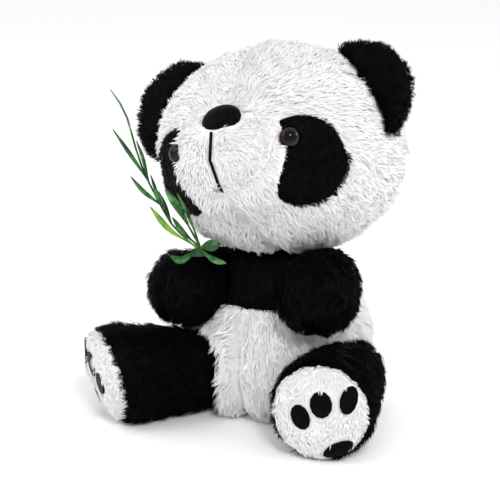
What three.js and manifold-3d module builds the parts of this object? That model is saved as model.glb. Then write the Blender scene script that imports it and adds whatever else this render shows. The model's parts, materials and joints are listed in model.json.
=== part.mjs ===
// Plush panda, seated, holding an artificial bamboo sprig: a sewn and stuffed toy, drawn in millimetres.
// +Z is up, the toy faces -Y, its left side is +X, and it sits on z = 0.
// Every sewn panel is its own solid, and the stuffing inside each section is a solid too. The sections that
// give on the real toy (head, arms, legs, ears, sprig) meet on round seats, so that each can turn in place.
import * as THREE from "three";
import { mergeVertices } from "three/addons/utils/BufferGeometryUtils.js";
import Module from "manifold-3d";

const wasm = await Module();
wasm.setup();

// ---------------------------------------------------------------- driving dimensions
const SKIN = 2.4; // backing cloth with its pile pressed flat
const GAP = 0.35; // between touching pieces
const SEAT_GAP = 0.8; // between a turning section and its seat

const HEAD_CENTRE = [0.9, 0.4, 140.3];
const HEAD_RADII = [67.5, 60, 55.8];
const HEAD_YAW = -2; // degrees, nose towards the toy's right
const HEAD_PITCH = 29; // degrees, nose up
const HEAD_ROLL = 13; // degrees, crown towards the toy's right shoulder
const HEAD_BACK_SEAM = 14; // behind the head's centre
const MUZZLE_CENTRE = [0, -44, -20];
const MUZZLE_RADII = [33, 33, 27];
const MUZZLE_PANEL = [28, 23]; // half-width and half-height of the short-pile panel

const NECK_PIVOT = [0, 2, 91];
const NECK_RADIUS = 20;
const HEAD_NOD = [-6, 3]; // degrees up and down

const TORSO_DEPTH = 0.87; // depth over width
const BELLY_BULGE = 0.25; // how much further forward the lower belly stands, as a share of its depth
const TORSO_PROFILE = [[40, 0], [49.5, 6], [53.5, 20], [53, 36], [49, 52], [41.5, 68], [32, 81], [21, 92]];
const BAND_Z = 60.5; // the white belly ends and the black chest band starts
const BACK_SEAM_Y = 4; // side seam of the torso
const BELLY_SEAM_LEAN = 6; // degrees, the middle seam leans towards the left leg as it goes down

const SHOULDERS = { left: [34, -8, 73], right: [-28.5, -10, 68] };
const ARM_RADII = [16, 20.5]; // at the shoulder and at the paw
const ARM_SWING = 40; // degrees outwards
const PAWS = { left: [42, -36, 73], right: [-35, -38, 66.5] };

const HIPS = { left: [48.5, -10, 20.5], right: [-15, -29.5, 20.5] };
const LEG_RADII = [19, 26.3]; // at the hip and at the foot
const LEG_RISE = 6; // of the foot over the hip
const LEG_LENGTH = 78; // hip to sole
const LEG_DIRECTION = { left: 12.5, right: 41 }; // degrees out from straight ahead
const LEG_SPLAY = [-5, 12]; // degrees inwards and outwards from rest
const SOLE_DOME = 9;
const SOLE_SLANT = { left: 0, right: 0.27 }; // how far the toes lean out beyond the heel, per unit of height

const EAR_SEAM = { left: 21, right: 25 }; // degrees of the ear's middle above the lateral axis
const EAR_FORWARD = 8; // degrees of the ear's middle ahead of the lateral axis
const EAR_RADII = [28.5, 8, 31]; // outwards, half-thickness, along the seam
const EAR_SINK = { left: 8, right: 3 }; // the ear's centre below the head's surface
const EAR_BEND = 15; // degrees each way

const EYE_RADIUS = 5.4;
const EYE_PLACE = [32.2, -51.5, -13.8];
const PATCH_PLACE = { left: [41, -39, -24.6], right: [43, -36.5, -21] };
const PATCH_OUTLINE = [
  [-22, 19], [-11, 23], [2, 22], [13, 13], [18.5, 0], [14, -16], [-2, -24], [-18, -19], [-17, 0], [-18, 14],
];
const NOSE_PLACE = [2.3, -69.5, -5.5];
const NOSE_RADII = [11.2, 9.2, 5.5]; // half-width, half-height, depth
const NOSE_TILT = 25; // degrees, the nose looks up from the muzzle's axis
const MOUTH = [-14, -42]; // top and bottom of the stitched line
const THREAD = 1.1; // how far embroidery stands out

const TOES = [[-9, -1.4, 4.8, 6.8], [1.5, 6.2, 5.8, 7], [15.4, 9.3, 4.4, 7.2]]; // place and half-sizes
const TOE_TILT = [25, 10, -8]; // degrees
const HEEL = [8.5, 3.8, 10.5, -17.5]; // half-length, half-width, place

const SPRIG_BASE = [-27.1, -41.7, 91.5];
const SPRIG_FACING = [27, 16]; // degrees to the toy's left of straight ahead, and up
const SPRIG_LEAN = 0.4; // forwards per unit of height
const STALK = 0.55; // radius
// Each blade runs from its tip to its foot: three places (across, up, forward) and the leaf's half-width.
const TENDRIL = [[-45, 82.9, 0], [-38.1, 72.1, 0], [-34.7, 60.8, 0], [-31.6, 49, 0], [-27.1, 37, 0], [-21.6, 25.7, 0],
  [-14.9, 13.4, 0], [-8.4, 6.3, 0], [-1.2, 0, 0]];
const TALL_BLADES = [
  [[-44.3, 62.5, 2], [-36.1, 50.4, 1], [-26.9, 36.5, 0], 1.15],
  [[-32, 56.6, 3], [-28.9, 47.7, 2], [-26.3, 35.2, 0], 1],
  [[-24.9, 38.8, 3], [-22.5, 30.9, 2], [-19.2, 21.1, 0], 1],
  [[-35.6, 38, 3], [-29, 30.1, 2], [-20.5, 23.5, 0], 1.3],
  [[-20.9, 30.3, 4], [-17.7, 22.6, 3], [-14.5, 12.8, 0], 1.2],
];
const SHORT_BLADES = [
  [[-16.8, 30.9, 16], [-10, 20.9, 13], [1, 0, 0], 2.1],
  [[-10.6, 29.1, 14], [-4.8, 17, 11], [1, 0, 0], 1.1],
  [[-13.8, 16.5, 8], [-7.8, 8.2, 7], [1, 0, 0], 1.5],
];
const YELLOW_BLADE = [[[-25.5, 22.1, 7], [-15.4, 9.8, 7], [0, 0, 3], 1.7]];
const BASE_BLADES = [
  [[12.2, 1.5, 9], [6.7, 1.2, 9], [0, 0, 5], 3.2],
  [[15.2, -8.3, 14], [8.8, -6.6, 12], [0, 0, 5], 1.7],
  [[-15, -4.2, 14], [-9.2, -6.7, 13], [0, 0, 5], 2.1],
];

// ---------------------------------------------------------------- materials
const cloth = (color) => new THREE.MeshStandardMaterial({ color, roughness: 0.95, metalness: 0 });
const plastic = (color, roughness) => new THREE.MeshStandardMaterial({ color, roughness, metalness: 0 });
const WHITE_PLUSH = cloth(0xf1eeec);
const BLACK_PLUSH = cloth(0x0c0b0c);
const STUFFING = cloth(0xf7f7f4);
const BLACK_THREAD = cloth(0x141216);
const LABEL_TAPE = cloth(0xf4f4f4);
const EYE_PLASTIC = plastic(0x1a0f0a, 0.08);
const WASHER_PLASTIC = plastic(0xe8e8e8, 0.5);
const LEAF_PLASTIC = plastic(0x3f8f3a, 0.4);
const YELLOW_LEAF_PLASTIC = plastic(0xa9b83c, 0.4);
const TIE_PLASTIC = plastic(0x2f6b30, 0.6);

// ---------------------------------------------------------------- solids
const rad = THREE.MathUtils.degToRad;
const vec = (a) => new THREE.Vector3(...a);
const SIDES = ["left", "right"];
const sign = (side) => (side === "left" ? 1 : -1);
const sided = ([x, y, z], side) => [x * sign(side), y, z];

function solid(geometry, matrix) {
  const bare = new THREE.BufferGeometry();
  const source = geometry.index ? geometry.toNonIndexed() : geometry;
  bare.setAttribute("position", source.getAttribute("position").clone());
  if (matrix) bare.applyMatrix4(matrix);
  const merged = mergeVertices(bare, 1e-4);
  const triVerts = new Uint32Array(merged.index.array);
  const mesh = new wasm.Mesh({ numProp: 3, vertProperties: merged.attributes.position.array, triVerts });
  return new wasm.Manifold(mesh);
}

const toy = new THREE.Group();

// Adds a named mesh of the solid's largest body: slivers that a cut leaves beside it are dropped.
function piece(name, manifold, material) {
  const body = manifold.decompose().sort((a, b) => b.volume() - a.volume())[0];
  const { vertProperties, triVerts } = body.getMesh();
  const geometry = new THREE.BufferGeometry();
  geometry.setAttribute("position", new THREE.BufferAttribute(vertProperties, 3));
  geometry.setIndex(new THREE.BufferAttribute(triVerts, 1));
  geometry.computeVertexNormals();
  const mesh = new THREE.Mesh(geometry, material);
  mesh.name = name;
  toy.add(mesh);
}

const joined = (solids) => solids.reduce((a, b) => a.add(b));
const without = (body, ...cuts) => cuts.reduce((a, b) => a.subtract(b), body);

// A closed surface around the origin, radiusAt(direction) away from it.
function star(radiusAt, detail, matrix) {
  const shape = mergeVertices(new THREE.IcosahedronGeometry(1, detail).deleteAttribute("normal").deleteAttribute("uv"));
  const place = shape.getAttribute("position");
  const d = new THREE.Vector3();
  for (let i = 0; i < place.count; i++) {
    d.fromBufferAttribute(place, i).normalize();
    d.multiplyScalar(radiusAt(d));
    place.setXYZ(i, d.x, d.y, d.z);
  }
  return solid(shape, matrix);
}

// Distance from the origin along d to the far side of an ellipsoid, or 0 where the ray misses it.
function reach(d, centre, radii) {
  let a = 0;
  let b = 0;
  let c = -1;
  d.toArray().forEach((x, i) => {
    a += (x / radii[i]) ** 2;
    b += (x * centre[i]) / radii[i] ** 2;
    c += (centre[i] / radii[i]) ** 2;
  });
  const root = b * b - a * c;
  return root < 0 ? 0 : (b + Math.sqrt(root)) / a;
}

function softMax(a, b, width) {
  const h = Math.max(width - Math.abs(a - b), 0) / width;
  return Math.max(a, b) + (h * h * width) / 4;
}

const moved = (p) => new THREE.Matrix4().makeTranslation(...p);
const ball = (centre, radius, detail = 3) => star(() => radius, detail, moved(centre));

function box(low, high, matrix) {
  const size = high.map((h, i) => h - low[i]);
  const middle = high.map((h, i) => (h + low[i]) / 2);
  return solid(new THREE.BoxGeometry(...size).translate(...middle), matrix);
}

// A prism of a closed outline in XY, from z = low to z = high.
function prism(points, low, high, matrix) {
  const shape = new THREE.Shape(points.map(([x, y]) => new THREE.Vector2(x, y)));
  const geometry = new THREE.ExtrudeGeometry(shape, { depth: high - low, bevelEnabled: false });
  return solid(geometry.translate(0, 0, low), matrix);
}

function oval([rx, ry], [x, y] = [0, 0], tilt = 0, steps = 20) {
  return Array.from({ length: steps }, (_, i) => {
    const p = new THREE.Vector2(rx, 0).rotateAround(new THREE.Vector2(), (i / steps) * 2 * Math.PI);
    p.y *= ry / rx;
    p.rotateAround(new THREE.Vector2(), rad(tilt));
    return [p.x + x, p.y + y];
  });
}

// A smooth closed outline through the corners, grown outwards by a factor.
function smooth(corners, grow = 1, steps = 26) {
  const loop = new THREE.CatmullRomCurve3(corners.map(([x, y]) => new THREE.Vector3(x, y, 0)), true);
  return loop.getPoints(steps).slice(0, -1).map((p) => [p.x * grow, p.y * grow]);
}

const cylinder = (radius, low, high, matrix, steps = 10) => prism(oval([radius, radius], [0, 0], 0, steps), low, high, matrix);

// A solid of revolution about Z through [radius, height] points.
const turnedProfile = (points, matrix, steps = 20) =>
  solid(new THREE.LatheGeometry(points.map(([r, z]) => new THREE.Vector2(r, z)), steps).rotateX(Math.PI / 2), matrix);

// Local +Z along axis, local +Y as near to up as it can be, the origin at place.
function facing(place, axis, up = [0, 0, 1]) {
  const z = vec(axis).normalize();
  const x = new THREE.Vector3().crossVectors(vec(up), z).normalize();
  const y = new THREE.Vector3().crossVectors(z, x);
  return new THREE.Matrix4().makeBasis(x, y, z).setPosition(...place);
}

// A limb along +Z from a round end at the origin to a domed end at length.
function limb([r0, r1], length, dome, inset, matrix, steps) {
  const quarter = Array.from({ length: 5 }, (_, i) => (i / 4) * (Math.PI / 2));
  const round = quarter.map((t) => [(r0 - inset) * Math.sin(t), -(r0 - inset) * Math.cos(t)]);
  const end = quarter.map((t) => [
    (r1 - inset) * Math.cos(t) ** 0.7,
    length - dome - inset + dome * Math.sin(t) ** 1.2,
  ]);
  const middle = [(r0 + r1) / 2 - inset, (length - dome) / 2];
  const points = [...round, middle, ...end];
  points[0][0] = 0;
  points[points.length - 1][0] = 0;
  return turnedProfile(points, matrix, steps);
}

// A copy turned about an axis through a pivot.
function swung(body, pivot, axis, degrees) {
  const turn = moved(pivot)
    .multiply(new THREE.Matrix4().makeRotationAxis(vec(axis).normalize(), rad(degrees)))
    .multiply(moved(pivot.map((x) => -x)));
  return body.transform(turn.elements);
}

// Everything a body passes through as it turns to each of the angles.
const swept = (body, pivot, axis, angles) => joined(angles.map((a) => swung(body, pivot, axis, a)));

// A blade from tip to foot: a lens-shaped leaf on a thin stalk, diamond-shaped across.
function blade(places, halfWidth, leafShare, matrix) {
  const curve = new THREE.CatmullRomCurve3(places.map(([x, y, z]) => new THREE.Vector3(x, y, z + SPRIG_LEAN * y)));
  const steps = places.length > 3 ? 12 : 7;
  const out = new THREE.Vector3(0, 0, 1);
  const rings = Array.from({ length: steps + 1 }, (_, i) => {
    const t = i / steps;
    const leaf = t < leafShare ? Math.sin((t / leafShare) * Math.PI) ** 0.8 : 0;
    const across = new THREE.Vector3().crossVectors(curve.getTangent(t), out).normalize();
    const half = i === 0 ? 0.25 : Math.max(STALK, halfWidth * leaf);
    const thick = i === 0 ? 0.2 : STALK;
    const c = curve.getPoint(t);
    return [[half, 0], [0, thick], [-half, 0], [0, -thick]].map(([a, b]) =>
      c.clone().addScaledVector(across, a).addScaledVector(out, b));
  });
  const faces = [];
  rings.slice(1).forEach((ring, i) => ring.forEach((p, k) => {
    const n = (k + 1) % 4;
    faces.push(rings[i][k], rings[i][n], ring[n], rings[i][k], ring[n], p);
  }));
  const cap = (ring, flip) => [[0, 1, 2], [0, 2, 3]].forEach((f) =>
    (flip ? [...f].reverse() : f).forEach((k) => faces.push(ring[k])));
  cap(rings[0], true);
  cap(rings[steps], false);
  const made = solid(new THREE.BufferGeometry().setFromPoints(faces), matrix);
  return made.volume() > 0 ? made : solid(new THREE.BufferGeometry().setFromPoints(faces.reverse()), matrix);
}

// ---------------------------------------------------------------- shared shapes
const headFrame = moved(HEAD_CENTRE)
  .multiply(new THREE.Matrix4().makeRotationZ(rad(-HEAD_YAW)))
  .multiply(new THREE.Matrix4().makeRotationY(rad(-HEAD_ROLL)))
  .multiply(new THREE.Matrix4().makeRotationX(rad(-HEAD_PITCH)));
const inHead = (matrix) => headFrame.clone().multiply(matrix);

const headRadius = (d) => softMax(reach(d, [0, 0, 0], HEAD_RADII), reach(d, MUZZLE_CENTRE, MUZZLE_RADII), 12);
const HEAD_DETAIL = 5;
const headShape = (inset, detail) => star((d) => headRadius(d) - inset, detail, headFrame);
const onHead = (place, height = 0) => {
  const d = vec(place).normalize();
  return d.multiplyScalar(headRadius(d) + height).toArray();
};

// The space that the head passes through as it nods.
const headRoom = swept(headShape(-1.6, 3), NECK_PIVOT, [1, 0, 0], [HEAD_NOD[0], 0, HEAD_NOD[1]]);
const neckSeat = ball(NECK_PIVOT, NECK_RADIUS + SEAT_GAP, 3);

const armAxis = (side) => vec(PAWS[side]).sub(vec(SHOULDERS[side]));
const armFrame = (side) => facing(SHOULDERS[side], armAxis(side).toArray());
const armShape = (side, inset, steps = 16) =>
  limb(ARM_RADII, armAxis(side).length() + ARM_RADII[1], ARM_RADII[1], inset, armFrame(side), steps);
const legAxis = (side) => {
  const a = rad(LEG_DIRECTION[side]);
  return sided([Math.sin(a), -Math.cos(a), LEG_RISE / LEG_LENGTH], side);
};
const legFrame = (side) => facing(HIPS[side], legAxis(side));
const legShape = (side, inset, steps = 16) => limb(LEG_RADII, LEG_LENGTH, SOLE_DOME, inset, legFrame(side), steps);

// The space that the arms and legs pass through, with a round seat at each pivot.
const Z_AXIS = [0, 0, 1];
const armRoom = (side, clearance, steps) =>
  swept(armShape(side, -clearance, steps), SHOULDERS[side], Z_AXIS, [0, 0.5, 1].map((t) => t * ARM_SWING * sign(side)))
    .add(ball(SHOULDERS[side], ARM_RADII[0] + clearance + 0.5, 2));
const legRoom = (side, clearance, steps) =>
  swept(legShape(side, -clearance, steps), HIPS[side], Z_AXIS, [...LEG_SPLAY, 0].map((a) => a * sign(side)))
    .add(ball(HIPS[side], LEG_RADII[0] + clearance + 0.5, 2));

function torsoShape(inset, steps = 28, rowCount = 9) {
  const rows = new THREE.SplineCurve(TORSO_PROFILE.map(([r, z]) => new THREE.Vector2(r, z))).getPoints(rowCount);
  const points = rows.map((p) => [p.x - inset, Math.max(p.y, inset)]);
  points[0][1] = inset;
  const top = points[points.length - 1][1];
  const closed = [[0, inset], ...points, [0, top]];
  const even = turnedProfile(closed, new THREE.Matrix4().makeScale(1, TORSO_DEPTH, 1), steps);
  return even.warp((v) => {
    const t = Math.min(Math.max((BAND_Z - v[2]) / (BAND_Z - 25), 0), 1);
    v[1] *= v[1] < 0 ? 1 + BELLY_BULGE * t * t * (3 - 2 * t) : 1;
  });
}

// ---------------------------------------------------------------- head
const eyeDirection = (side) => sided(EYE_PLACE, side);
const eyeFrame = (side) => inHead(facing(onHead(eyeDirection(side)), eyeDirection(side)));
const patchPrism = (side, grow) => {
  const outline = smooth(PATCH_OUTLINE, grow, 20).map(([x, y]) => [x * sign(side), y]);
  if (side === "right") outline.reverse();
  return prism(outline, 20, 110, inHead(facing([0, 0, 0], sided(PATCH_PLACE[side], side))));
};
const muzzlePrism = (grow) =>
  prism(oval(MUZZLE_PANEL.map((r) => r + grow), [0, 0], 0, 22), 20, 120,
    inHead(facing([0, 0, MUZZLE_CENTRE[2]], [0, -1, 0])));

// The space around each ear's seam that the ear passes through.
const earOut = (side) => sided([Math.cos(rad(EAR_SEAM[side])), -Math.sin(rad(EAR_FORWARD)), Math.sin(rad(EAR_SEAM[side]))], side);
const earFrame = (side) => {
  const foot = onHead(earOut(side), -EAR_SINK[side]);
  return inHead(facing(foot, earOut(side), [0, 1, 0]));
};

const earShape = (side, inset, steps) => {
  const [out, half, seam] = EAR_RADII.map((r) => r - inset);
  const rim = Array.from({ length: 9 }, (_, i) => (i / 8) * Math.PI);
  const points = rim.map((t, i) => [i % 8 ? out * Math.sin(t) : 0, -half * Math.cos(t)]);
  const flat = new THREE.Matrix4().makeRotationX(Math.PI / 2).premultiply(new THREE.Matrix4().makeScale(seam / out, 1, 1));
  return turnedProfile(points, earFrame(side).multiply(flat), steps);
};

const eyeSockets = SIDES.map((side) => joined([
  cylinder(EYE_RADIUS + 0.5, -GAP, 20, eyeFrame(side)),
  cylinder(1.7 + GAP, -20, 1, eyeFrame(side)),
]));
const headSkin = without(headShape(0, HEAD_DETAIL), headShape(SKIN, 3), neckSeat, ...eyeSockets);
const cloths = {
  muzzle: muzzlePrism(GAP / 2),
  left: patchPrism("left", 1.01),
  right: patchPrism("right", 1.01),
};
const facePanels = without(headSkin, cloths.muzzle, cloths.left, cloths.right);
piece("head_left_panel",
  facePanels.intersect(box([GAP / 2, -200, -200], [200, HEAD_BACK_SEAM, 200], headFrame)), WHITE_PLUSH);
piece("head_right_panel",
  facePanels.intersect(box([-200, -200, -200], [-GAP / 2, HEAD_BACK_SEAM, 200], headFrame)), WHITE_PLUSH);
piece("head_back_panel",
  facePanels.intersect(box([-200, HEAD_BACK_SEAM + GAP, -200], [200, 200, 200], headFrame)), WHITE_PLUSH);
piece("muzzle_panel", headSkin.intersect(muzzlePrism(-GAP / 2)), WHITE_PLUSH);
for (const side of SIDES) {
  const patch = headSkin.intersect(patchPrism(side, 0.99));
  piece("eye_patch_" + side, patch.subtract(muzzlePrism(GAP / 2)), BLACK_PLUSH);
  const dome = [[0, 4.6], [2.1, 4.1], [3.9, 3], [5, 1.5], [EYE_RADIUS, 0.1], [1.7, 0.1], [1.4, -12], [0, -12]];
  piece("eye_" + side, turnedProfile(dome.reverse(), eyeFrame(side), 14), EYE_PLASTIC);
  const washer = cylinder(5, -SKIN - 2.4, -SKIN - 1, eyeFrame(side));
  piece("eye_washer_" + side, washer.subtract(cylinder(2.1, -9, 9, eyeFrame(side))), WASHER_PLASTIC);
}

const embroidery = (cutter, height = THREAD) =>
  without(headShape(-GAP - height, HEAD_DETAIL), headShape(-GAP, HEAD_DETAIL)).intersect(cutter);
const noseAim = [0, -Math.cos(rad(NOSE_TILT)), Math.sin(rad(NOSE_TILT))];
const nosePad = star((d) => reach(d, [0, 0, 0], NOSE_RADII), 3, inHead(facing(NOSE_PLACE, noseAim)));
piece("nose", nosePad.subtract(headShape(-GAP, HEAD_DETAIL)), BLACK_THREAD);
const mouthSlot = box([-0.6, -120, MOUTH[1]], [0.6, -50, MOUTH[0]], headFrame);
piece("mouth_stitch", embroidery(mouthSlot), BLACK_THREAD);

const washerPockets = SIDES.map((side) => joined([
  cylinder(EYE_RADIUS + 0.6, -SKIN - 2.8, 2, eyeFrame(side)),
  cylinder(2.1, -13, 0, eyeFrame(side)),
]));
piece("head_stuffing", without(headShape(SKIN + GAP, 3), neckSeat, ...washerPockets), STUFFING);
piece("neck_stuffing", ball(NECK_PIVOT, NECK_RADIUS, 3), STUFFING);

// ---------------------------------------------------------------- ears
for (const side of SIDES) {
  const frame = earFrame(side);
  const foot = new THREE.Vector3(0, 0, EAR_SINK[side]).applyMatrix4(frame).toArray();
  const hinge = new THREE.Vector3(1, 0, 0).transformDirection(frame).toArray();
  const room = swept(headShape(-1.1, 3), foot, hinge, [-EAR_BEND, 0, EAR_BEND]);
  const skin = without(earShape(side, 0, 24), earShape(side, SKIN, 16), room);
  const half = (low, high) => box([-60, low, -60], [60, high, 60], frame);
  piece("ear_" + side + "_front_panel", skin.intersect(half(-30, -GAP / 2)), BLACK_PLUSH);
  piece("ear_" + side + "_back_panel", skin.intersect(half(GAP / 2, 30)), BLACK_PLUSH);
  piece("ear_" + side + "_stuffing", without(earShape(side, SKIN + 1.4, 14), room), STUFFING);
}

// ---------------------------------------------------------------- torso
const torsoSkin = without(torsoShape(0), torsoShape(SKIN, 20), neckSeat, headRoom,
  ...SIDES.flatMap((side) => [armRoom(side, SEAT_GAP + 0.5, 14), legRoom(side, SEAT_GAP, 14)]));
const slab = (low, high) => box([-200, -200, low], [200, 200, high]);
const quarter = (x0, x1, y0, y1) => box([x0, y0, -50], [x1, y1, 200]);
const belly = torsoSkin.intersect(slab(SKIN + GAP, BAND_Z));
const band = torsoSkin.intersect(slab(BAND_Z + GAP, 200));
const front = BACK_SEAM_Y - GAP;
piece("seat_panel", torsoSkin.intersect(slab(-1, SKIN)), WHITE_PLUSH);
const seam = new THREE.Matrix4().makeTranslation(0, 0, BAND_Z)
  .multiply(new THREE.Matrix4().makeRotationY(rad(-BELLY_SEAM_LEAN)));
piece("belly_left_panel", belly.intersect(box([GAP / 2, -99, -99], [150, front, 99], seam)), WHITE_PLUSH);
piece("belly_right_panel", belly.intersect(box([-150, -99, -99], [-GAP / 2, front, 99], seam)), WHITE_PLUSH);
piece("torso_back_panel", belly.intersect(quarter(-99, 99, BACK_SEAM_Y, 99)), WHITE_PLUSH);
piece("chest_band", band.intersect(quarter(-99, 99, -99, front)), BLACK_PLUSH);
piece("shoulder_band", band.intersect(quarter(-99, 99, BACK_SEAM_Y, 99)), BLACK_PLUSH);
// The filling is whole below the arms, and a column between them.
const filled = slab(0, 45).add(box([-12, -60, 40], [16, 60, 200]));
piece("torso_stuffing", without(torsoShape(SKIN + 1.6, 16, 6).intersect(filled), neckSeat, headRoom,
  ...SIDES.map((side) => legRoom(side, 2.4, 10))), STUFFING);
piece("care_label", box([18, 44.5, 14], [30, 45.1, 34]), LABEL_TAPE);

// ---------------------------------------------------------------- legs
// The end of a leg drawn out at its top and in at its bottom, so that its sole slants.
const slanted = (solid, side) => {
  const frame = legFrame(side);
  const back = frame.clone().invert();
  const p = new THREE.Vector3();
  return solid.warp((v) => {
    p.fromArray(v).applyMatrix4(back);
    const t = Math.min(Math.max((p.z - 32) / (LEG_LENGTH - 42), 0), 1);
    p.z += SOLE_SLANT[side] * p.y * t * t * (3 - 2 * t);
    p.applyMatrix4(frame).toArray(v);
  });
};
for (const side of SIDES) {
  const frame = legFrame(side);
  const limbPiece = (name, solid, material) => piece("leg_" + side + name, slanted(solid, side), material);
  const skin = without(legShape(side, 0), legShape(side, SKIN), slab(-50, 0), cylinder(12, -60, 0, frame));
  const rim = LEG_LENGTH - SOLE_DOME;
  const beyond = (z) => box([-60, -60, z], [60, 60, 200], frame);
  limbPiece("_panel", skin.subtract(beyond(rim - GAP / 2)), BLACK_PLUSH);
  limbPiece("_sole", skin.intersect(beyond(rim + GAP / 2)), WHITE_PLUSH);
  limbPiece("_stuffing", without(legShape(side, SKIN + GAP + 0.4, 12), slab(-50, SKIN)), STUFFING);
  const padLayer = without(legShape(side, -GAP - 1), legShape(side, -GAP));
  const pad = (outline) => padLayer.intersect(prism(outline, LEG_LENGTH - 30, LEG_LENGTH + 30, frame));
  TOES.forEach(([x, y, rx, ry], i) => {
    const place = [x * sign(side), y];
    limbPiece("_toe_" + (i + 1), pad(oval([rx, ry], place, TOE_TILT[i] * sign(side), 12)), BLACK_THREAD);
  });
  limbPiece("_heel_pad", pad(oval(HEEL.slice(0, 2), [HEEL[2] * sign(side), HEEL[3]], 30 * sign(side), 12)), BLACK_THREAD);
}

// ---------------------------------------------------------------- arms
for (const side of SIDES) {
  const frame = armFrame(side);
  const skin = armShape(side, 0).subtract(armShape(side, SKIN));
  const half = (low, high) => box([low, -80, -80], [high, 80, 120], frame);
  const outside = side === "left" ? half(GAP / 2, 80) : half(-80, -GAP / 2);
  const inside = side === "left" ? half(-80, -GAP / 2) : half(GAP / 2, 80);
  piece("arm_" + side + "_outer_panel", skin.intersect(outside), BLACK_PLUSH);
  piece("arm_" + side + "_inner_panel", skin.intersect(inside), BLACK_PLUSH);
  piece("arm_" + side + "_stuffing", armShape(side, SKIN + GAP + 0.4, 12), STUFFING);
}

// ---------------------------------------------------------------- bamboo sprig
// The round foot of a spray, held by the tie.
const [sprigTurn, sprigRise] = SPRIG_FACING.map(rad);
const sprigFrame = facing(SPRIG_BASE, [
  Math.sin(sprigTurn) * Math.cos(sprigRise), -Math.cos(sprigTurn) * Math.cos(sprigRise), Math.sin(sprigRise),
]);
const foot = (x, z, drop = 4.4) => cylinder(0.9, -drop, 1, sprigFrame.clone().multiply(facing([x, 0, z], [0, 1, 0], [0, 0, 1])), 8);
const spray = (rows, share) => rows.map(([tip, middle, base, width]) => blade([tip, middle, base], width, share, sprigFrame));
piece("sprig_tall_spray",
  joined([blade(TENDRIL, 0, 0, sprigFrame), ...spray(TALL_BLADES, 1), foot(-1.2, 0)]), LEAF_PLASTIC);
piece("sprig_short_spray", joined([...spray(SHORT_BLADES, 0.75), foot(1, 0)]), LEAF_PLASTIC);
piece("sprig_yellow_blade", joined([...spray(YELLOW_BLADE, 0.75), foot(0, 3)]), YELLOW_LEAF_PLASTIC);
piece("sprig_base_leaves", joined([...spray(BASE_BLADES, 0.9), foot(0, 5, 2)]), LEAF_PLASTIC);
const tieFrame = sprigFrame.clone().multiply(facing([0, -3.6, 1.8], [0, 1, 0]));
const tieRing = cylinder(4.2, -1.2, 1.2, tieFrame, 14).subtract(cylinder(3.4, -5, 5, tieFrame, 14));
piece("sprig_tie", tieRing, TIE_PLASTIC);

export default toy;
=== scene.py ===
import bmesh
import bpy
import json
import math
import numpy as np
from mathutils import Matrix, Vector
from mathutils.bvhtree import BVHTree
from mathutils.kdtree import KDTree

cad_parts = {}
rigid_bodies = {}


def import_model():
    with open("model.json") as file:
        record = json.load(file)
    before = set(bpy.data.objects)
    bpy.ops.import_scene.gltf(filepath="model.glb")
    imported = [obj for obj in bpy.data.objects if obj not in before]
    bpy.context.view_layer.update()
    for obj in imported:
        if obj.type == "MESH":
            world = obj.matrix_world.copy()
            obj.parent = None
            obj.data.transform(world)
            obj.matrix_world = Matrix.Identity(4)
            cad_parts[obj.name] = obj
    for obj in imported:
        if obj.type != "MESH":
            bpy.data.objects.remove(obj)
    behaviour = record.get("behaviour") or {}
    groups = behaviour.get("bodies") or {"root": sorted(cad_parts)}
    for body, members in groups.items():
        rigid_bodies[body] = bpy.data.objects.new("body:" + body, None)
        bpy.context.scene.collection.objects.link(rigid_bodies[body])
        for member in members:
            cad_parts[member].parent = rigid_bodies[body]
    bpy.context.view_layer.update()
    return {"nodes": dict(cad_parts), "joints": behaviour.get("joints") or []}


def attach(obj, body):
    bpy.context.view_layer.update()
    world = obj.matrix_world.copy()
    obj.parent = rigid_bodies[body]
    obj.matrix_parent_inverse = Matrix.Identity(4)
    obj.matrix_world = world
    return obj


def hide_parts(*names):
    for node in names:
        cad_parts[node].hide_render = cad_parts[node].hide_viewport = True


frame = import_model()
NODES = frame["nodes"]
MM = 0.001
rng = np.random.default_rng(7)
scene = bpy.context.scene

# ---------------------------------------------------------------- camera
CAMERA_TURN = 27.0  # degrees, towards the toy's left
CAMERA_RISE = 16.5
CAMERA_DISTANCE = 0.9
CAMERA_TARGET = np.array([-13.5, -6.9, 82.8]) * MM
FOCAL_PIXELS = 1607.0
FRAME_PIXELS = 500.0

turn, rise = math.radians(CAMERA_TURN), math.radians(CAMERA_RISE)
towards_camera = np.array([math.sin(turn) * math.cos(rise), -math.cos(turn) * math.cos(rise), math.sin(rise)])
camera_data = bpy.data.cameras.new("camera")
camera_data.sensor_width = 36.0
camera_data.lens = 36.0 * FOCAL_PIXELS / FRAME_PIXELS
camera_data.clip_start = 0.05
camera_data.clip_end = 20.0
camera = bpy.data.objects.new("camera", camera_data)
camera.location = Vector(CAMERA_TARGET + towards_camera * CAMERA_DISTANCE)
camera.rotation_euler = Vector(towards_camera).to_track_quat("Z", "Y").to_euler()
scene.collection.objects.link(camera)
scene.camera = camera
scene.view_settings.view_transform = "Standard"


# ---------------------------------------------------------------- materials
def new_material(name):
    material = bpy.data.materials.new(name)
    material.use_nodes = True
    tree = material.node_tree
    return material, tree, tree.nodes["Principled BSDF"]


def noise(tree, scale, detail=3.0, rough=0.5):
    where = tree.nodes.new("ShaderNodeTexCoord")
    made = tree.nodes.new("ShaderNodeTexNoise")
    made.inputs["Scale"].default_value = scale
    made.inputs["Detail"].default_value = detail
    made.inputs["Roughness"].default_value = rough
    tree.links.new(where.outputs["Object"], made.inputs["Vector"])
    return made


def ramp(tree, source, stops):
    made = tree.nodes.new("ShaderNodeValToRGB")
    while len(made.color_ramp.elements) < len(stops):
        made.color_ramp.elements.new(0.5)
    for element, (place, color) in zip(made.color_ramp.elements, stops):
        element.position = place
        element.color = (*color, 1.0)
    tree.links.new(source, made.inputs["Fac"])
    return made


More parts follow.
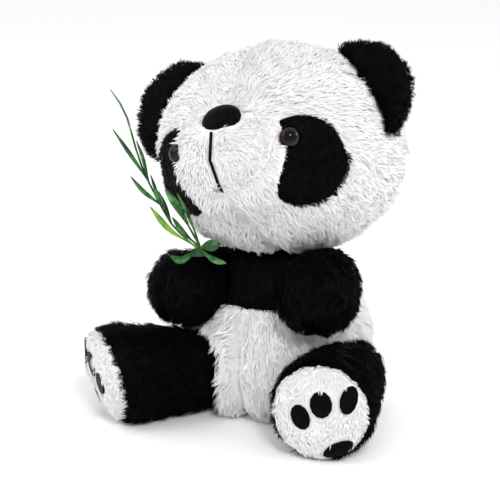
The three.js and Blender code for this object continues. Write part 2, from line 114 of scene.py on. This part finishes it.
def bump(tree, shader, source, strength, distance):
    made = tree.nodes.new("ShaderNodeBump")
    made.inputs["Strength"].default_value = strength
    made.inputs["Distance"].default_value = distance
    tree.links.new(source, made.inputs["Height"])
    tree.links.new(made.outputs["Normal"], shader.inputs["Normal"])


def cloth_material(name, stops, roughness, sheen=0.0, specular=0.1, broad=45.0, grain=900.0, height=0.0003):
    material, tree, shader = new_material(name)
    places = (0.3, 0.52, 0.75)
    colors = ramp(tree, noise(tree, broad, 4.0, 0.6).outputs["Fac"], list(zip(places, stops)))
    tree.links.new(colors.outputs["Color"], shader.inputs["Base Color"])
    shader.inputs["Roughness"].default_value = roughness
    shader.inputs["Sheen Weight"].default_value = sheen
    shader.inputs["Sheen Roughness"].default_value = 0.5
    shader.inputs["Specular IOR Level"].default_value = specular
    if height:
        bump(tree, shader, noise(tree, grain, 2.0, 0.6).outputs["Fac"], 0.5, height)
    return material


MATERIALS = {
    "white_plush": cloth_material(
        "white_backing", [(0.74, 0.72, 0.72), (0.80, 0.785, 0.78), (0.85, 0.84, 0.835)], 0.9),
    "black_plush": cloth_material(
        "black_backing", [(0.0015, 0.0015, 0.0017), (0.0022, 0.0022, 0.0025), (0.004, 0.004, 0.0045)], 0.9,
        specular=0.02),
    "white_pile": cloth_material(
        "white_pile", [(0.86, 0.84, 0.835), (0.90, 0.885, 0.88), (0.94, 0.93, 0.925)], 0.8,
        specular=0.12, broad=260.0, height=0),
    "black_pile": cloth_material(
        "black_pile", [(0.0012, 0.0012, 0.0014), (0.0022, 0.0022, 0.0026), (0.005, 0.005, 0.006)], 0.45,
        specular=0.035, broad=260.0, height=0),
    "thread": cloth_material(
        "black_thread", [(0.001, 0.001, 0.0012), (0.002, 0.0018, 0.002), (0.005, 0.004, 0.005)], 0.4,
        specular=0.03, broad=300.0, grain=1600.0),
    "filling": cloth_material(
        "filling", [(0.8, 0.8, 0.79), (0.88, 0.88, 0.87), (0.93, 0.93, 0.92)], 0.95, 0.2),
    "tape": cloth_material(
        "label_tape", [(0.82, 0.82, 0.82), (0.88, 0.88, 0.88), (0.92, 0.92, 0.92)], 0.6, grain=1800.0),
    "washer": cloth_material(
        "washer_plastic", [(0.75, 0.75, 0.74), (0.8, 0.8, 0.79), (0.84, 0.84, 0.83)], 0.4),
}


def leaf_material(name, stops):
    material, tree, shader = new_material(name)
    colors = ramp(tree, noise(tree, 110.0, 4.0, 0.65).outputs["Fac"], list(zip((0.32, 0.5, 0.7), stops)))
    tree.links.new(colors.outputs["Color"], shader.inputs["Base Color"])
    shader.inputs["Roughness"].default_value = 0.35
    shader.inputs["Specular IOR Level"].default_value = 0.4
    bump(tree, shader, noise(tree, 700.0, 2.0, 0.5).outputs["Fac"], 0.4, 0.0003)
    return material


MATERIALS["leaf"] = leaf_material(
    "leaf_green", [(0.003, 0.028, 0.006), (0.010, 0.080, 0.014), (0.12, 0.34, 0.08)])
MATERIALS["yellow_leaf"] = leaf_material(
    "leaf_yellow", [(0.05, 0.16, 0.012), (0.16, 0.34, 0.03), (0.42, 0.55, 0.09)])
MATERIALS["tie"] = leaf_material(
    "tie_green", [(0.01, 0.05, 0.015), (0.02, 0.10, 0.03), (0.05, 0.17, 0.06)])

# ---------------------------------------------------------------- what is sewn from what
SECTIONS = {  # section: (body, {panel: shade}, filling)
    "head": ("head", {
        "head_left_panel": "white", "head_right_panel": "white", "head_back_panel": "white",
        "muzzle_panel": "white", "eye_patch_left": "black", "eye_patch_right": "black"}, "head_stuffing"),
    "torso": ("torso", {
        "belly_left_panel": "white", "belly_right_panel": "white", "torso_back_panel": "white",
        "seat_panel": "white", "chest_band": "black", "shoulder_band": "black"}, "torso_stuffing"),
}
for side in ("left", "right"):
    SECTIONS["ear_" + side] = ("ear_" + side, {
        f"ear_{side}_front_panel": "black", f"ear_{side}_back_panel": "black"}, f"ear_{side}_stuffing")
    SECTIONS["arm_" + side] = ("arm_" + side, {
        f"arm_{side}_outer_panel": "black", f"arm_{side}_inner_panel": "black"}, f"arm_{side}_stuffing")
    SECTIONS["leg_" + side] = ("leg_" + side, {
        f"leg_{side}_panel": "black", f"leg_{side}_sole": "white"}, f"leg_{side}_stuffing")
SECTIONS["neck"] = ("neck", {"neck_stuffing": "black"}, None)

# seams that show as a valley: a word from each panel's name, then the depth and the half width in mm
SEAMS = [
    ("belly_left", "belly_right", 4.0, 3.0),
    ("belly", "chest", 1.0, 3.0),
    ("belly", "torso_back", 0.8, 3.0),
    ("chest", "shoulder", 0.6, 2.5),
    ("head_left", "head_right", 2.2, 2.6),
    ("head_left", "head_back", 0.5, 2.5),
    ("head_right", "head_back", 0.5, 2.5),
    ("head", "muzzle", 3.0, 3.6),
    ("head", "eye_patch", 0.4, 2.0),
    ("panel", "sole", 1.2, 3.0),
    ("outer", "inner", 0.6, 2.5),
    ("front", "back", 0.5, 2.0),
]


# ---------------------------------------------------------------- geometry helpers
def arrays(name):
    mesh = NODES[name].data
    co = np.zeros(len(mesh.vertices) * 3)
    mesh.vertices.foreach_get("co", co)
    mesh.calc_loop_triangles()
    tri = np.zeros(len(mesh.loop_triangles) * 3, int)
    mesh.loop_triangles.foreach_get("vertices", tri)
    return co.reshape(-1, 3), tri.reshape(-1, 3)


def tree_of(names):
    points, faces, base = [], [], 0
    for name in names:
        co, tri = arrays(name)
        points.append(co)
        faces.append(tri + base)
        base += len(co)
    co, tri = np.concatenate(points), np.concatenate(faces)
    return BVHTree.FromPolygons([Vector(p) for p in co], [tuple(t) for t in tri]), co


def icosphere(detail):
    bm = bmesh.new()
    bmesh.ops.create_icosphere(bm, subdivisions=detail, radius=1.0)
    bm.verts.ensure_lookup_table()
    co = np.array([v.co for v in bm.verts])
    tri = np.array([[v.index for v in f.verts] for f in bm.faces])
    bm.free()
    return co / np.linalg.norm(co, axis=1)[:, None], tri


def unit(v):
    return v / np.maximum(np.linalg.norm(v, axis=-1, keepdims=True), 1e-9)


def flat_to(v, n):
    """v with its part along n taken out."""
    return v - n * (v * n).sum(-1, keepdims=True)


def smoothed(values, edges, rounds, weight=0.5):
    """Each value or point drawn towards the mean of its neighbours."""
    values = values.copy()
    degree = np.maximum(np.bincount(edges.ravel(), minlength=len(values)).astype(float), 1)
    for _ in range(rounds):
        total = np.zeros_like(values)
        np.add.at(total, edges[:, 0], values[edges[:, 1]])
        np.add.at(total, edges[:, 1], values[edges[:, 0]])
        mean = total / (degree[:, None] if values.ndim > 1 else degree)
        values += (mean - values) * weight
    return values


def rounded(co, edges, rounds):
    """Ripples taken out without drawing corners and rims in."""
    for _ in range(rounds):
        co = smoothed(smoothed(co, edges, 1, 0.5), edges, 1, -0.53)
    return co


def normals_of(co, tri):
    a, b, c = co[tri[:, 0]], co[tri[:, 1]], co[tri[:, 2]]
    n = np.cross(b - a, c - a)
    out = np.zeros_like(co)
    for k in range(3):
        np.add.at(out, tri[:, k], n)
    return unit(out)


def waves(seed, size, outputs=1, terms=10):
    """A smooth field of about -1..1, whose ripples are about `size` long."""
    dice = np.random.default_rng(seed)
    k = dice.normal(size=(outputs, terms, 3))
    stretch = 0.7 + 0.7 * dice.random((outputs, terms))
    k *= (2 * math.pi / size / stretch / np.linalg.norm(k, axis=2))[:, :, None]
    phase = dice.random((outputs, terms)) * 2 * math.pi

    def field(points):
        value = np.sin(np.einsum("pj,otj->pot", points, k) + phase).sum(2) / math.sqrt(terms / 2)
        return value if outputs > 1 else value[:, 0]
    return field


def mesh_object(name, co, tri, material, body, parent=None, normals=None):
    """A triangle mesh in the row frame, smooth shaded, riding a body or going with a parent piece."""
    mesh = bpy.data.meshes.new(name)
    mesh.vertices.add(len(co))
    mesh.vertices.foreach_set("co", co.astype(np.float32).ravel())
    mesh.loops.add(len(tri) * 3)
    mesh.loops.foreach_set("vertex_index", tri.astype(np.int32).ravel())
    mesh.polygons.add(len(tri))
    mesh.polygons.foreach_set("loop_start", np.arange(0, len(tri) * 3, 3, dtype=np.int32))
    mesh.update(calc_edges=True)
    mesh.polygons.foreach_set("use_smooth", np.ones(len(tri), bool))
    if normals is not None:
        mesh.normals_split_custom_set_from_vertices(normals.tolist())
    mesh.materials.append(material)
    made = bpy.data.objects.new(name, mesh)
    scene.collection.objects.link(made)
    if parent is None:
        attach(made, body)
    else:
        made.parent = parent
    return made


# ---------------------------------------------------------------- what a section meets as the joints move
CARRIED = {j["child"]: j for j in frame["joints"]}
SKINS = {}  # section: (tree, low corner, high corner) of its skin
# what a tuft keeps free round its root, at rest and as the joints move, and round its tip
ROOM_AT_REST, ROOM_MOVED, ROOM_AT_TIP = 1.8 * MM, 0.7 * MM, 0.4 * MM


def rides(body, joint):
    """True when the joint carries the body along."""
    while body in CARRIED:
        if CARRIED[body] is joint:
            return True
        body = CARRIED[body]["parent"]
    return False


def meetings(name):
    """The others at rest, at each joint's limits and half way up: (4x4 matrix for the points, section)."""
    body = SECTIONS[name][0]
    others = [s for s in SECTIONS if s != name]
    found = [(np.eye(4), s) for s in others]
    for joint in frame["joints"]:
        carries = rides(body, joint)
        low, high = joint["range_deg"]
        for degrees in sorted({low, high / 2, high} - {0}):
            at = Matrix.Translation(Vector(joint["pos_m"]))
            turn = Matrix.Rotation(math.radians(degrees if carries else -degrees), 4, Vector(joint["axis"]))
            matrix = np.array(at @ turn @ at.inverted())
            found += [(matrix, s) for s in others if rides(SECTIONS[s][0], joint) != carries]
    return found


def placed(points, matrix):
    return points @ matrix[:3, :3].T + matrix[:3, 3]


def boxed(points, low, high, margin):
    """True for each point in a box, or within a margin of it."""
    return ((points > low - margin) & (points < high + margin)).all(1)


def touches(tree, point, room):
    """True inside a section's skin, or closer to it than room."""
    place, normal, _, distance = tree.find_nearest(point)
    return distance < room or (point - place).dot(normal) < 0


def comes_near(points, met, reach):
    """True for each point that another section's skin passes within reach of, or swallows."""
    near = np.zeros(len(points), bool)
    for matrix, other in met:
        tree, low, high = SKINS[other]
        moved = placed(points, matrix)
        for i in np.flatnonzero(~near & boxed(moved, low, high, reach)):
            near[i] = touches(tree, Vector(moved[i]), reach)
    return near


def blocked(root, tip, met):
    """True for each tuft that another section lies on, at rest or as it moves."""
    hit = np.zeros(len(root), bool)
    for matrix, other in met:
        tree, low, high = SKINS[other]
        room = ROOM_AT_REST if np.array_equal(matrix, np.eye(4)) else ROOM_MOVED
        a, b = placed(root, matrix), placed(tip, matrix)
        close = boxed(a, low, high, room) | boxed(b, low, high, room)
        for i in np.flatnonzero(~hit & close):
            hit[i] = touches(tree, Vector(a[i]), room) or touches(tree, Vector(b[i]), ROOM_AT_TIP)
    return hit


# ---------------------------------------------------------------- one stuffed section
BACKING = 1.2 * MM  # thickness of a panel's cloth
OUTSIDE = 0.4  # metres from a section's middle, beyond all of it
MISSED = 0.01  # metres from its middle, where a look inwards finds no panel
JOWL = np.array([50, 18, 112]) * MM  # the fullest place of the left cheek
JOWL_SWELL, JOWL_SIZE = 2.2 * MM, 30 * MM  # how far it stands out, and how wide
LUMP = 0.35 * MM  # height of the lumps in the filling
SKIN_REST = 0.2 * MM  # lowest place of a skin over the floor
CLOTH_REST = 0.1 * MM  # the same, of the cloth's inner face and of the tufts
CLEARANCE = 2.5 * MM  # a skin gives way to another that comes this close
INSET = 0.4 * MM  # by lying this far inside its own solid
SEAM_TOP, SEAM_FADE = 0.168, 0.035  # metres: where the face's seams have faded out, and over what height
SEAM_LEAST = 0.15  # share of a face seam's depth that is left at the top
LUMPS = waves(3, 26 * MM)


class Surface:
    """The smooth outside of one stuffed section, found by looking inwards at its panels from all round."""

    def __init__(self, name, detail):
        self.name = name
        self.body, self.panels, self.filling = SECTIONS[name]
        self.names = list(self.panels)
        tree, points = tree_of(self.names + [self.filling] * (self.filling is not None))
        self.solid = tree
        low, high = points.min(0), points.max(0)
        self.centre = (low + high) / 2
        spread = (high - low) / 2
        directions, self.tri = icosphere(detail)
        self.edges = np.unique(np.sort(np.concatenate(
            [self.tri[:, [0, 1]], self.tri[:, [1, 2]], self.tri[:, [2, 0]]]), axis=1), axis=0)
        aims = unit(directions * spread)
        co = np.zeros_like(directions)
        for i, aim in enumerate(aims):
            hit = tree.ray_cast(Vector(self.centre + aim * OUTSIDE), Vector(-aim))[0]
            co[i] = hit if hit is not None else self.centre + aim * MISSED
        co = rounded(co, self.edges, 5)
        trees = [tree_of([n])[0] for n in self.names]
        middles = co[self.tri].mean(1)
        near = np.array([[t.find_nearest(Vector(m))[3] for t in trees] for m in middles])
        self.owner = near.argmin(1)
        co = self.straighten_borders(co)
        self.normals = normals_of(co, self.tri)
        self.seams(co)
        swell = 0.0
        if name == "head":
            swell = JOWL_SWELL * np.exp(-(np.linalg.norm(co - JOWL, axis=1) / JOWL_SIZE) ** 2)
        co = co - self.normals * (self.sink - LUMP * LUMPS(co) - swell)[:, None]
        co = smoothed(co, self.edges, 1, 0.4)
        self.met = meetings(name)
        self.settle(co)

    def settle(self, co):
        """Takes co as the skin, kept off the floor."""
        co[:, 2] = np.maximum(co[:, 2], SKIN_REST)
        self.co = co
        self.normals = normals_of(co, self.tri)
        tree = BVHTree.FromPolygons([Vector(p) for p in co], self.tri.tolist())
        SKINS[self.name] = (tree, co.min(0), co.max(0))

    def give_way(self):
        """Draws the skin back onto its own solid wherever another section comes close."""
        co = self.co.copy()
        for i in np.flatnonzero(comes_near(co, self.met, CLEARANCE)):
            place, normal = self.solid.find_nearest(Vector(co[i]))[:2]
            if (Vector(co[i]) - place).dot(normal) > -INSET:
                co[i] = place - normal * INSET
        self.settle(co)

    def on_black(self, tip, shade):
        """True for a white tuft that would lie over a black panel."""
        if shade == "black" or "black" not in self.panels.values():
            return np.zeros(len(tip), bool)
        black = [i for i, n in enumerate(self.names) if self.panels[n] == "black"]
        middles = self.co[self.tri].mean(1)
        kd = KDTree(len(middles))
        for i, m in enumerate(middles):
            kd.insert(Vector(m), i)
        kd.balance()
        return np.array([self.owner[kd.find(Vector(t))[1]] in black for t in tip], bool)

    def border_pairs(self):
        """The edges between two panels: vertex a, vertex b, panel and panel."""
        sides = {}
        for f, t in enumerate(self.tri):
            for a, b in ((t[0], t[1]), (t[1], t[2]), (t[2], t[0])):
                sides.setdefault((min(a, b), max(a, b)), []).append(self.owner[f])
        return [(a, b, *sorted(o)) for (a, b), o in sides.items() if len(o) == 2 and o[0] != o[1]]

    def straighten_borders(self, co):
        """The zigzag that whole triangles leave along a seam, drawn out smooth."""
        pairs = self.border_pairs()
        if not pairs:
            return co
        edges = np.array([[a, b] for a, b, _, _ in pairs])
        on = np.unique(edges)
        for _ in range(8):
            moved = smoothed(co, edges, 1, 0.5)
            co = co.copy()
            co[on] = moved[on]
        rest = np.ones(len(co), bool)
        rest[on] = False
        co[rest] = rounded(co, self.edges, 2)[rest]
        return co

    def seams(self, co):
        """How deep the seams near each point press it in, and the way that leads away from them."""
        self.sink = np.zeros(len(co))
        self.away = np.zeros_like(co)
        self.near_seam = np.zeros(len(co))
        found = {}
        for a, b, p, q in self.border_pairs():
            found.setdefault((p, q), set()).update((a, b))
        for (p, q), points in found.items():
            names = self.names[p], self.names[q]
            for one, two, depth, width in SEAMS:
                if (one in names[0] and two in names[1]) or (one in names[1] and two in names[0]):
                    break
            else:
                continue
            points = sorted(points)
            kd = KDTree(len(points))
            for i in points:
                kd.insert(Vector(co[i]), i)
            kd.balance()
            nearest = [kd.find(Vector(c)) for c in co]
            distance = np.array([n[2] for n in nearest])
            off = co - np.array([n[0] for n in nearest])
            fall = np.exp(-(distance / (width * MM)) ** 2)
            if "muzzle" in one + two or one == "head_left":  # deep under the chin, fading out over the brow
                fall *= np.clip((SEAM_TOP - co[:, 2]) / SEAM_FADE, SEAM_LEAST, 1)
            self.sink = np.maximum(self.sink, fall * depth * MM)
            strength = min(1.0, depth / 2.0)
            pull = np.exp(-(distance / (2.2 * width * MM)) ** 2) * strength
            self.away += unit(off) * pull[:, None]
            self.near_seam = np.maximum(self.near_seam, fall * strength)


def panel_cloth(surface, index, material):
    """A closed thin shell of one panel's part of the surface."""
    tri = surface.tri[surface.owner == index]
    used, flat = np.unique(tri.ravel(), return_inverse=True)
    tri = flat.reshape(-1, 3)
    top = surface.co[used]
    bottom = top - surface.normals[used] * BACKING
    bottom[:, 2] = np.maximum(bottom[:, 2], CLOTH_REST)
    n = len(used)
    edges = {(a, b) for t in tri.tolist() for a, b in ((t[0], t[1]), (t[1], t[2]), (t[2], t[0]))}
    free = [(a, b) for a, b in sorted(edges) if (b, a) not in edges]
    rim = [f for a, b in free for f in ((b, a, a + n), (b, a + n, b + n))]
    if rim:
        co, faces = np.concatenate([top, bottom]), np.concatenate([tri, tri[:, ::-1] + n, rim])
    else:  # a piece that is one closed bag of cloth
        co, faces = top, tri
    made = mesh_object(surface.names[index] + "_cloth", co, faces, material, surface.body)
    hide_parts(surface.names[index])
    return made


def filling(surface):
    """The soft filling that the panels are stretched over."""
    co = surface.co - surface.normals * (BACKING + 0.5 * MM)
    co = smoothed(co, surface.edges, 3)
    co[:, 2] = np.maximum(co[:, 2], BACKING + 0.4 * MM)  # over the cloth that lies on the floor
    made = mesh_object(surface.filling + "_fill", co, surface.tri, MATERIALS["filling"], surface.body)
    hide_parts(surface.filling)
    return made


RUN_IN = 8 * MM  # distance over which the pile shortens towards another section
SEAM_SHORTENS, SEAM_FLATTENS = 0.55, 0.4  # share of a tuft's length, and of its lift, lost in a seam
LIFT_RANGE = 0.12, 0.8  # how steeply a tuft may stand, as a share of its length
ROUNDNESS = 0.36  # how far a tuft shades as itself, and not as the cloth under it
ROOTED = 0.3  # mm of a tuft that lie inside the cloth
# a tuft's faces: 0 is its root, 1 to 3 the ring round its middle, 4 its tip
TUFT = np.array([(0, 2, 1), (0, 3, 2), (0, 1, 3), (4, 1, 2), (4, 2, 3), (4, 3, 1)])
CLUMPS = waves(11, 9 * MM, 3)
LIFTS = waves(12, 7 * MM)


def varied(count):
    """A random size for each tuft, about one."""
    return 0.7 + 0.6 * rng.random(count)


def pile(surface, index, shade, cloth, density, length, width, lean, rise=0.42, stray=0.22, clump=0.3):
    """Curved tapered tufts, each a closed spindle, rooted in one panel's cloth and combed along `lean`."""
    tri = surface.tri[surface.owner == index]
    corner = surface.co[tri]
    area = np.linalg.norm(np.cross(corner[:, 1] - corner[:, 0], corner[:, 2] - corner[:, 0]), axis=1) / 2
    count = int(area.sum() * 1e6 * density)
    pick = rng.choice(len(tri), count, p=area / area.sum())
    u, v = rng.random(count), rng.random(count)
    over = u + v > 1
    u[over], v[over] = 1 - u[over], 1 - v[over]
    weights = np.stack([1 - u - v, u, v], 1)

    def mixed(values):
        return (values[tri[pick]] * weights.reshape(count, 3, *[1] * (values.ndim - 1))).sum(1)
    root, n = mixed(surface.co), unit(mixed(surface.normals))
    away, near_seam = mixed(surface.away), mixed(surface.near_seam)
    flow = flat_to(unit(flat_to(lean(root), n)) + away * 1.2 + CLUMPS(root) * clump, n)
    flow = unit(flow + flat_to(rng.normal(size=(count, 3)), n) * stray)
    reach = length * varied(count) * (1 - SEAM_SHORTENS * near_seam)
    lift = np.clip(rise + 0.11 * LIFTS(root) + 0.08 * rng.normal(size=count), *LIFT_RANGE)
    lift *= 1 - SEAM_FLATTENS * near_seam
    room = np.ones(count)
    for other in sorted({s for _, s in surface.met}):
        tree, low, high = SKINS[other]
        for i in np.flatnonzero(boxed(root, low, high, RUN_IN)):
            room[i] = min(room[i], tree.find_nearest(Vector(root[i]))[3] / RUN_IN)
    reach *= 0.4 + 0.6 * room  # shorter where it runs in beside another section

    def bent():
        return (root + (n * (lift * 0.78)[:, None] + flow * 0.40) * reach[:, None],
                root + (n * lift[:, None] + flow * 0.92) * reach[:, None])
    middle, tip = bent()
    cut = blocked(root, tip, surface.met) | on_feature(root, tip) | surface.on_black(tip, shade)
    reach[cut] *= 0.5
    lift[cut] *= 0.6
    middle, tip = bent()
    again = np.flatnonzero(cut)
    keep = np.ones(count, bool)
    keep[again] = ~(blocked(root[again], tip[again], surface.met) | on_feature(root[again], tip[again])
                    | surface.on_black(tip[again], shade))
    root, n, flow, middle, tip = root[keep], n[keep], flow[keep], middle[keep], tip[keep]
    count = len(root)
    across = unit(np.cross(n, flow))
    along = unit(np.cross(unit(tip - root), across))
    half = width * varied(count)[:, None] / 2
    ring = [middle + across * half, middle - across * half * 0.5 + along * half * 0.7,
            middle - across * half * 0.5 - along * half * 0.7]
    co = np.stack([root - n * ROOTED * MM, *ring, tip], 1).reshape(-1, 3)
    co[:, 2] = np.maximum(co[:, 2], CLOTH_REST)
    faces = (TUFT[None] + (np.arange(count) * 5)[:, None, None]).reshape(-1, 3)
    own = np.stack([
        -flow * 0.3, across, -across * 0.5 + along * 0.7, -across * 0.5 - along * 0.7, flow * 0.5], 1)
    normals = unit(np.repeat(n, 5, axis=0) + own.reshape(-1, 3) * ROUNDNESS)
    name = cloth.name.replace("_cloth", "_pile")
    made = mesh_object(name, co, faces, MATERIALS[shade + "_pile"], None, cloth, normals)
    return made


# ---------------------------------------------------------------- which way each pile is combed
def towards(direction):
    direction = np.array(direction, float)
    return lambda root: np.tile(direction, (len(root), 1))


def outwards_from(point, drop=0.0):
    point = np.array(point, float) * MM

    def lean(root):
        way = unit(root - point)
        way[:, 2] -= drop
        return way
    return lean


LEANS = {
    "head": outwards_from([-12, -110, 190], 0.25),
    "muzzle_panel": outwards_from([-12, -90, 178], 0.35),
    "torso": outwards_from([0, -60, 150], 0.6),
    "ear_left": outwards_from([40, 5, 170], 0.0),
    "ear_right": outwards_from([-52, 3, 148], 0.0),
    "arm_left": outwards_from([30, 20, 92], 0.1),
    "arm_right": outwards_from([-28, 20, 88], 0.1),
    "leg_left": towards([0.22, -0.95, -0.25]),
    "leg_right": towards([-0.62, -0.72, -0.25]),
    "neck": towards([0, 0, -1]),
    "leg_left_sole": towards([0, 0, -1]),
    "leg_right_sole": towards([0, 0, -1]),
}
SHORT = {  # length of a panel's pile, as a share of the longest
    "muzzle_panel": 0.62, "seat_panel": 0.0, "neck_stuffing": 0.6, "chest_band": 0.75, "shoulder_band": 0.75,
    "head_left_panel": 0.82, "head_right_panel": 0.76,
}
for side in ("left", "right"):
    SHORT |= {
        f"eye_patch_{side}": 0.5, f"leg_{side}_panel": 0.85, f"leg_{side}_sole": 0.5,
        f"ear_{side}_front_panel": 0.65, f"ear_{side}_back_panel": 0.65,
        f"arm_{side}_outer_panel": 0.8, f"arm_{side}_inner_panel": 0.8,
    }
DENSITY = 1.3  # tufts to the square millimetre, where the pile is longest
PILE_LENGTH, PILE_WIDTH = 6.4 * MM, 0.52 * MM
DETAIL = {"head": 6, "torso": 6}
FEATURES = [n for n in NODES if n in ("nose", "mouth_stitch") or n.startswith(("eye_left", "eye_right"))
            or "_toe_" in n or "heel_pad" in n]
FEATURE_ROOM, FEATURE_ROOM_AT_TIP = 0.9 * MM, 1.7 * MM  # kept free of a tuft's root, and of its tip
features = tree_of(FEATURES)[0]
surfaces = {name: Surface(name, DETAIL.get(name, 5)) for name in SECTIONS}
for surface in surfaces.values():
    surface.give_way()


def on_feature(root, tip):
    """True for each tuft that would lie over a stitched or hard feature."""
    def near(point, room):
        return features.find_nearest(Vector(point), room)[0] is not None
    return np.array([near(a, FEATURE_ROOM) or near(b, FEATURE_ROOM_AT_TIP) for a, b in zip(root, tip)], bool)


for name, surface in surfaces.items():
    if surface.filling:
        filling(surface)
    for index, panel in enumerate(surface.names):
        shade = surface.panels[panel]
        cloth = panel_cloth(surface, index, MATERIALS[shade + "_plush"])
        short = SHORT.get(panel, 1.0)
        if short:
            pile(surface, index, shade, cloth, DENSITY / short ** 0.5, PILE_LENGTH * short, PILE_WIDTH,
                 LEANS.get(panel, LEANS[name]))

# ---------------------------------------------------------------- the CAD pieces that stay
for name, node in NODES.items():
    if node.hide_render:
        continue
    if "_toe_" in name or "heel_pad" in name or name in ("nose", "mouth_stitch"):
        kind = "thread"
    elif name == "care_label":
        kind = "tape"
    elif name == "sprig_yellow_blade":
        kind = "yellow_leaf"
    elif name == "sprig_tie":
        kind = "tie"
    elif name.startswith("sprig"):
        kind = "leaf"
    elif name.startswith("eye_washer"):
        kind = "washer"
    else:
        continue
    node.data.materials.clear()
    node.data.materials.append(MATERIALS[kind])


# ---------------------------------------------------------------- eyes
EYE_SPAN = 5.6 * MM  # distance from the eye's axis at which its colours end
RING_WOBBLE = 0.0006  # metres by which the brown ring is uneven
DOME_RADIUS = 6.5  # mm


def vector_node(tree, operation, source, value=None):
    made = tree.nodes.new("ShaderNodeVectorMath")
    made.operation = operation
    tree.links.new(source, made.inputs[0])
    if value is not None:
        made.inputs[1].default_value = value
    return made


def eye_material(name, middle, facing, round_about):
    """Dark glass, with a brown ring round a black pupil, laid out round the eye's own axis."""
    material, tree, shader = new_material(name)
    where = tree.nodes.new("ShaderNodeTexCoord").outputs["Object"]
    off = vector_node(tree, "SUBTRACT", where, middle)
    cross = vector_node(tree, "CROSS_PRODUCT", off.outputs["Vector"], facing)
    size = vector_node(tree, "LENGTH", cross.outputs["Vector"])
    grain = noise(tree, 900.0, 2.0)
    wobble = tree.nodes.new("ShaderNodeMath")
    wobble.operation = "MULTIPLY_ADD"
    wobble.inputs[1].default_value = RING_WOBBLE
    tree.links.new(grain.outputs["Fac"], wobble.inputs[0])
    tree.links.new(size.outputs["Value"], wobble.inputs[2])
    scaled = tree.nodes.new("ShaderNodeMath")
    scaled.operation = "MULTIPLY"
    scaled.inputs[1].default_value = 1 / EYE_SPAN
    tree.links.new(wobble.outputs["Value"], scaled.inputs[0])
    colors = ramp(tree, scaled.outputs["Value"], [
        (0.56, (0.001, 0.001, 0.001)), (0.64, (0.012, 0.008, 0.005)), (0.80, (0.030, 0.020, 0.014)),
        (0.90, (0.002, 0.0015, 0.001))])
    tree.links.new(colors.outputs["Color"], shader.inputs["Base Color"])
    # the dome's facets shade as one round surface
    outward = vector_node(tree, "SUBTRACT", where, round_about)
    outward = vector_node(tree, "NORMALIZE", outward.outputs["Vector"])
    turned = tree.nodes.new("ShaderNodeVectorTransform")
    turned.vector_type = "NORMAL"
    turned.convert_from, turned.convert_to = "OBJECT", "WORLD"
    tree.links.new(outward.outputs["Vector"], turned.inputs["Vector"])
    tree.links.new(turned.outputs["Vector"], shader.inputs["Normal"])
    shader.inputs["Roughness"].default_value = 0.08
    shader.inputs["Specular IOR Level"].default_value = 0.16
    return material


for side in ("left", "right"):
    washer, eye = arrays("eye_washer_" + side)[0], arrays("eye_" + side)[0]
    middle = washer.mean(0)
    facing = np.linalg.svd(washer - middle, full_matrices=False)[2][2]  # across the flat of the washer
    facing *= -np.sign(facing[1])
    pole = middle + facing * ((eye - middle) @ facing).max()
    node = NODES["eye_" + side]
    node.data.materials.clear()
    round_about = pole - facing * DOME_RADIUS * MM
    node.data.materials.append(eye_material("eye_plastic_" + side, middle, facing, round_about))

# ---------------------------------------------------------------- floor and light
floor_material, tree, shader = new_material("floor")
colors = ramp(tree, noise(tree, 2.0).outputs["Fac"], [(0.3, (0.97, 0.97, 0.97)), (0.7, (0.98, 0.98, 0.98))])
tree.links.new(colors.outputs["Color"], shader.inputs["Base Color"])
shader.inputs["Roughness"].default_value = 0.9
shader.inputs["Specular IOR Level"].default_value = 0.1
mesh = bpy.data.meshes.new("floor")
mesh.from_pydata([(-6, -6, 0), (6, -6, 0), (6, 6, 0), (-6, 6, 0)], [], [(0, 1, 2, 3)])
mesh.materials.append(floor_material)
floor = bpy.data.objects.new("floor", mesh)
scene.collection.objects.link(floor)

world = bpy.data.worlds.new("world")
scene.world = world
world.use_nodes = True
world.node_tree.nodes["Background"].inputs["Color"].default_value = (1, 1, 1, 1)
world.node_tree.nodes["Background"].inputs["Strength"].default_value = 0.92


def area_light(name, place, aim, size, power):
    data = bpy.data.lights.new(name, "AREA")
    data.size = size
    data.energy = power
    made = bpy.data.objects.new(name, data)
    made.location = place
    made.rotation_euler = (Vector(place) - Vector(aim)).to_track_quat("Z", "Y").to_euler()
    scene.collection.objects.link(made)


area_light("key", (0.75, -0.95, 1.05), (0, 0, 0.1), 0.3, 9.0)
area_light("fill", (-1.0, -0.7, 0.9), (0, 0, 0.1), 0.9, 5.0)
area_light("glint", (0.80, 0.30, 0.56), (0.03, -0.05, 0.16), 0.22, 2.4)
